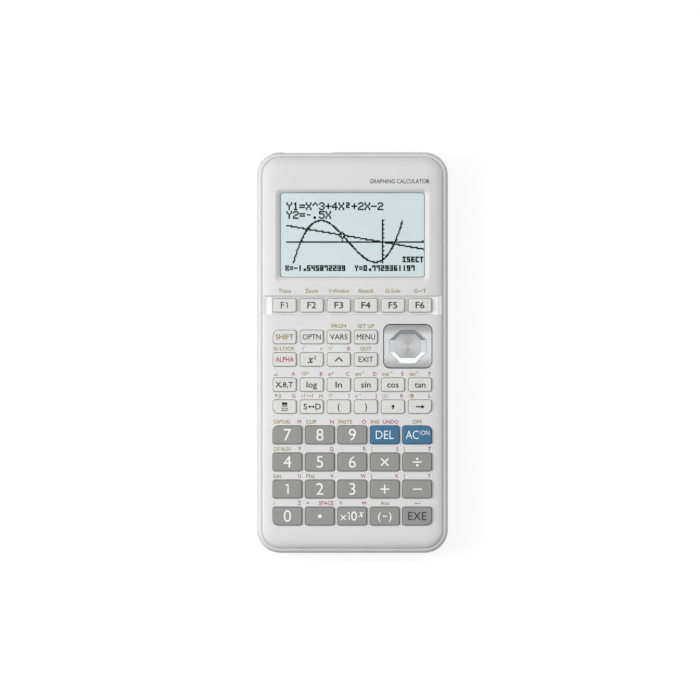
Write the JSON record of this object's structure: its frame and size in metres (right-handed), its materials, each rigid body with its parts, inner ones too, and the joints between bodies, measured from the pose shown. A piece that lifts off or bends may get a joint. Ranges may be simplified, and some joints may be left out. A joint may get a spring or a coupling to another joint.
{
  "type": "graphing calculator",
  "caption": "Hand-held graphing calculator with a dot-matrix display, a rocking cursor pad, spring-back keys, end sockets and a hinged battery cover.",
  "frame": {"origin": "on the plane the rear feet rest on, below the middle of the outline", "axes": "+X to the right of a person using it, +Y along its length towards the display end, +Z out of the front face, with the calculator lying on its back"},
  "size_m": [0.0834, 0.1756, 0.0186],
  "materials": {
    "case_front": "fine matt texture, warm white",
    "case_rear": "fine matt texture, warm white",
    "window": "clear acrylic, polished",
    "lcd": "pale grey-green reflective liquid crystal panel",
    "circuit_board": "green solder mask",
    "silicone": "grey silicone rubber",
    "chrome_trim": "polished plated plastic",
    "chrome_pad": "polished facets around a brushed centre",
    "cell": "printed sleeve and nickel contacts",
    "connector_steel": "bright tin plate",
    "jack_plastic": "black moulded plastic",
    "dark_plastic": "dark grey moulded plastic",
    "key_light": "pale grey satin plastic",
    "key_grey": "mid grey satin plastic",
    "key_blue": "slate blue satin plastic"
  },
  "bodies": {
    "case": {"front_case": "case_front", "rear_case": "case_rear", "display_window": "window", "lcd_module": "lcd", "main_board": "circuit_board", "key_mat": "silicone", "cursor_bezel": "chrome_trim", "battery_cells": "cell", "usb_socket": "connector_steel", "link_jack": "jack_plastic"},
    "key_f1": {"key_f1": "key_light"},
    "key_f2": {"key_f2": "key_light"},
    "key_f3": {"key_f3": "key_light"},
    "key_f4": {"key_f4": "key_light"},
    "key_f5": {"key_f5": "key_light"},
    "key_f6": {"key_f6": "key_light"},
    "key_shift": {"key_shift": "key_light"},
    "key_optn": {"key_optn": "key_light"},
    "key_vars": {"key_vars": "key_light"},
    "key_menu": {"key_menu": "key_light"},
    "key_alpha": {"key_alpha": "key_light"},
    "key_square": {"key_square": "key_light"},
    "key_power": {"key_power": "key_light"},
    "key_exit": {"key_exit": "key_light"},
    "key_variable": {"key_variable": "key_light"},
    "key_log": {"key_log": "key_light"},
    "key_ln": {"key_ln": "key_light"},
    "key_sin": {"key_sin": "key_light"},
    "key_cos": {"key_cos": "key_light"},
    "key_tan": {"key_tan": "key_light"},
    "key_fraction": {"key_fraction": "key_light"},
    "key_convert": {"key_convert": "key_light"},
    "key_paren_open": {"key_paren_open": "key_light"},
    "key_paren_close": {"key_paren_close": "key_light"},
    "key_comma": {"key_comma": "key_light"},
    "key_store": {"key_store": "key_light"},
    "key_7": {"key_7": "key_grey"},
    "key_8": {"key_8": "key_grey"},
    "key_9": {"key_9": "key_grey"},
    "key_delete": {"key_delete": "key_blue"},
    "key_ac": {"key_ac": "key_blue"},
    "key_4": {"key_4": "key_grey"},
    "key_5": {"key_5": "key_grey"},
    "key_6": {"key_6": "key_grey"},
    "key_multiply": {"key_multiply": "key_grey"},
    "key_divide": {"key_divide": "key_grey"},
    "key_1": {"key_1": "key_grey"},
    "key_2": {"key_2": "key_grey"},
    "key_3": {"key_3": "key_grey"},
    "key_add": {"key_add": "key_grey"},
    "key_subtract": {"key_subtract": "key_grey"},
    "key_0": {"key_0": "key_grey"},
    "key_point": {"key_point": "key_grey"},
    "key_exponent": {"key_exponent": "key_grey"},
    "key_negative": {"key_negative": "key_grey"},
    "key_execute": {"key_execute": "key_grey"},
    "cursor_pivot": {"cursor_pivot": "dark_plastic"},
    "cursor_pad": {"cursor_pad": "chrome_pad"},
    "battery_cover": {"battery_cover": "case_rear"},
    "reset_button": {"reset_button": "dark_plastic"}
  },
  "joints": [
    {"name": "key_f1_press", "type": "slide", "parent": "case", "child": "key_f1", "axis": [0, 0, -1], "range_m": [0, 0.0008], "stiffness_N_per_m": 400, "springref_m": -0.001},
    {"name": "key_f2_press", "type": "slide", "parent": "case", "child": "key_f2", "axis": [0, 0, -1], "range_m": [0, 0.0008], "stiffness_N_per_m": 400, "springref_m": -0.001},
    {"name": "key_f3_press", "type": "slide", "parent": "case", "child": "key_f3", "axis": [0, 0, -1], "range_m": [0, 0.0008], "stiffness_N_per_m": 400, "springref_m": -0.001},
    {"name": "key_f4_press", "type": "slide", "parent": "case", "child": "key_f4", "axis": [0, 0, -1], "range_m": [0, 0.0008], "stiffness_N_per_m": 400, "springref_m": -0.001},
    {"name": "key_f5_press", "type": "slide", "parent": "case", "child": "key_f5", "axis": [0, 0, -1], "range_m": [0, 0.0008], "stiffness_N_per_m": 400, "springref_m": -0.001},
    {"name": "key_f6_press", "type": "slide", "parent": "case", "child": "key_f6", "axis": [0, 0, -1], "range_m": [0, 0.0008], "stiffness_N_per_m": 400, "springref_m": -0.001},
    {"name": "key_shift_press", "type": "slide", "parent": "case", "child": "key_shift", "axis": [0, 0, -1], "range_m": [0, 0.001], "stiffness_N_per_m": 400, "springref_m": -0.001},
    {"name": "key_optn_press", "type": "slide", "parent": "case", "child": "key_optn", "axis": [0, 0, -1], "range_m": [0, 0.001], "stiffness_N_per_m": 400, "springref_m": -0.001},
    {"name": "key_vars_press", "type": "slide", "parent": "case", "child": "key_vars", "axis": [0, 0, -1], "range_m": [0, 0.001], "stiffness_N_per_m": 400, "springref_m": -0.001},
    {"name": "key_menu_press", "type": "slide", "parent": "case", "child": "key_menu", "axis": [0, 0, -1], "range_m": [0, 0.001], "stiffness_N_per_m": 400, "springref_m": -0.001},
    {"name": "key_alpha_press", "type": "slide", "parent": "case", "child": "key_alpha", "axis": [0, 0, -1], "range_m": [0, 0.001], "stiffness_N_per_m": 400, "springref_m": -0.001},
    {"name": "key_square_press", "type": "slide", "parent": "case", "child": "key_square", "axis": [0, 0, -1], "range_m": [0, 0.001], "stiffness_N_per_m": 400, "springref_m": -0.001},
    {"name": "key_power_press", "type": "slide", "parent": "case", "child": "key_power", "axis": [0, 0, -1], "range_m": [0, 0.001], "stiffness_N_per_m": 400, "springref_m": -0.001},
    {"name": "key_exit_press", "type": "slide", "parent": "case", "child": "key_exit", "axis": [0, 0, -1], "range_m": [0, 0.001], "stiffness_N_per_m": 400, "springref_m": -0.001},
    {"name": "key_variable_press", "type": "slide", "parent": "case", "child": "key_variable", "axis": [0, 0, -1], "range_m": [0, 0.001], "stiffness_N_per_m": 400, "springref_m": -0.001},
    {"name": "key_log_press", "type": "slide", "parent": "case", "child": "key_log", "axis": [0, 0, -1], "range_m": [0, 0.001], "stiffness_N_per_m": 400, "springref_m": -0.001},
    {"name": "key_ln_press", "type": "slide", "parent": "case", "child": "key_ln", "axis": [0, 0, -1], "range_m": [0, 0.001], "stiffness_N_per_m": 400, "springref_m": -0.001},
    {"name": "key_sin_press", "type": "slide", "parent": "case", "child": "key_sin", "axis": [0, 0, -1], "range_m": [0, 0.001], "stiffness_N_per_m": 400, "springref_m": -0.001},
    {"name": "key_cos_press", "type": "slide", "parent": "case", "child": "key_cos", "axis": [0, 0, -1], "range_m": [0, 0.001], "stiffness_N_per_m": 400, "springref_m": -0.001},
    {"name": "key_tan_press", "type": "slide", "parent": "case", "child": "key_tan", "axis": [0, 0, -1], "range_m": [0, 0.001], "stiffness_N_per_m": 400, "springref_m": -0.001},
    {"name": "key_fraction_press", "type": "slide", "parent": "case", "child": "key_fraction", "axis": [0, 0, -1], "range_m": [0, 0.001], "stiffness_N_per_m": 400, "springref_m": -0.001},
    {"name": "key_convert_press", "type": "slide", "parent": "case", "child": "key_convert", "axis": [0, 0, -1], "range_m": [0, 0.001], "stiffness_N_per_m": 400, "springref_m": -0.001},
    {"name": "key_paren_open_press", "type": "slide", "parent": "case", "child": "key_paren_open", "axis": [0, 0, -1], "range_m": [0, 0.001], "stiffness_N_per_m": 400, "springref_m": -0.001},
    {"name": "key_paren_close_press", "type": "slide", "parent": "case", "child": "key_paren_close", "axis": [0, 0, -1], "range_m": [0, 0.001], "stiffness_N_per_m": 400, "springref_m": -0.001},
    {"name": "key_comma_press", "type": "slide", "parent": "case", "child": "key_comma", "axis": [0, 0, -1], "range_m": [0, 0.001], "stiffness_N_per_m": 400, "springref_m": -0.001},
    {"name": "key_store_press", "type": "slide", "parent": "case", "child": "key_store", "axis": [0, 0, -1], "range_m": [0, 0.001], "stiffness_N_per_m": 400, "springref_m": -0.001},
    {"name": "key_7_press", "type": "slide", "parent": "case", "child": "key_7", "axis": [0, 0, -1], "range_m": [0, 0.001], "stiffness_N_per_m": 400, "springref_m": -0.001},
    {"name": "key_8_press", "type": "slide", "parent": "case", "child": "key_8", "axis": [0, 0, -1], "range_m": [0, 0.001], "stiffness_N_per_m": 400, "springref_m": -0.001},
    {"name": "key_9_press", "type": "slide", "parent": "case", "child": "key_9", "axis": [0, 0, -1], "range_m": [0, 0.001], "stiffness_N_per_m": 400, "springref_m": -0.001},
    {"name": "key_delete_press", "type": "slide", "parent": "case", "child": "key_delete", "axis": [0, 0, -1], "range_m": [0, 0.001], "stiffness_N_per_m": 400, "springref_m": -0.001},
    {"name": "key_ac_press", "type": "slide", "parent": "case", "child": "key_ac", "axis": [0, 0, -1], "range_m": [0, 0.001], "stiffness_N_per_m": 400, "springref_m": -0.001},
    {"name": "key_4_press", "type": "slide", "parent": "case", "child": "key_4", "axis": [0, 0, -1], "range_m": [0, 0.001], "stiffness_N_per_m": 400, "springref_m": -0.001},
    {"name": "key_5_press", "type": "slide", "parent": "case", "child": "key_5", "axis": [0, 0, -1], "range_m": [0, 0.001], "stiffness_N_per_m": 400, "springref_m": -0.001},
    {"name": "key_6_press", "type": "slide", "parent": "case", "child": "key_6", "axis": [0, 0, -1], "range_m": [0, 0.001], "stiffness_N_per_m": 400, "springref_m": -0.001},
    {"name": "key_multiply_press", "type": "slide", "parent": "case", "child": "key_multiply", "axis": [0, 0, -1], "range_m": [0, 0.001], "stiffness_N_per_m": 400, "springref_m": -0.001},
    {"name": "key_divide_press", "type": "slide", "parent": "case", "child": "key_divide", "axis": [0, 0, -1], "range_m": [0, 0.001], "stiffness_N_per_m": 400, "springref_m": -0.001},
    {"name": "key_1_press", "type": "slide", "parent": "case", "child": "key_1", "axis": [0, 0, -1], "range_m": [0, 0.001], "stiffness_N_per_m": 400, "springref_m": -0.001},
    {"name": "key_2_press", "type": "slide", "parent": "case", "child": "key_2", "axis": [0, 0, -1], "range_m": [0, 0.001], "stiffness_N_per_m": 400, "springref_m": -0.001},
    {"name": "key_3_press", "type": "slide", "parent": "case", "child": "key_3", "axis": [0, 0, -1], "range_m": [0, 0.001], "stiffness_N_per_m": 400, "springref_m": -0.001},
    {"name": "key_add_press", "type": "slide", "parent": "case", "child": "key_add", "axis": [0, 0, -1], "range_m": [0, 0.001], "stiffness_N_per_m": 400, "springref_m": -0.001},
    {"name": "key_subtract_press", "type": "slide", "parent": "case", "child": "key_subtract", "axis": [0, 0, -1], "range_m": [0, 0.001], "stiffness_N_per_m": 400, "springref_m": -0.001},
    {"name": "key_0_press", "type": "slide", "parent": "case", "child": "key_0", "axis": [0, 0, -1], "range_m": [0, 0.001], "stiffness_N_per_m": 400, "springref_m": -0.001},
    {"name": "key_point_press", "type": "slide", "parent": "case", "child": "key_point", "axis": [0, 0, -1], "range_m": [0, 0.001], "stiffness_N_per_m": 400, "springref_m": -0.001},
    {"name": "key_exponent_press", "type": "slide", "parent": "case", "child": "key_exponent", "axis": [0, 0, -1], "range_m": [0, 0.001], "stiffness_N_per_m": 400, "springref_m": -0.001},
    {"name": "key_negative_press", "type": "slide", "parent": "case", "child": "key_negative", "axis": [0, 0, -1], "range_m": [0, 0.001], "stiffness_N_per_m": 400, "springref_m": -0.001},
    {"name": "key_execute_press", "type": "slide", "parent": "case", "child": "key_execute", "axis": [0, 0, -1], "range_m": [0, 0.001], "stiffness_N_per_m": 400, "springref_m": -0.001},
    {"name": "cursor_up_down", "type": "hinge", "parent": "case", "child": "cursor_pivot", "pos_m": [0.02417, 0.00275, 0.0162], "axis": [1, 0, 0], "range_deg": [-4, 4], "stiffness_Nm_per_rad": 0.12},
    {"name": "cursor_left_right", "type": "hinge", "parent": "cursor_pivot", "child": "cursor_pad", "pos_m": [0.02417, 0.00275, 0.0162], "axis": [0, 1, 0], "range_deg": [-4, 4], "stiffness_Nm_per_rad": 0.12},
    {"name": "battery_cover_hinge", "type": "hinge", "parent": "case", "child": "battery_cover", "pos_m": [0, 0.0735, 0.0006], "axis": [1, 0, 0], "range_deg": [0, 70]},
    {"name": "reset_button_press", "type": "slide", "parent": "case", "child": "reset_button", "axis": [0, 0, 1], "range_m": [0, 0.0003], "stiffness_N_per_m": 400, "springref_m": -0.0005}
  ]
}
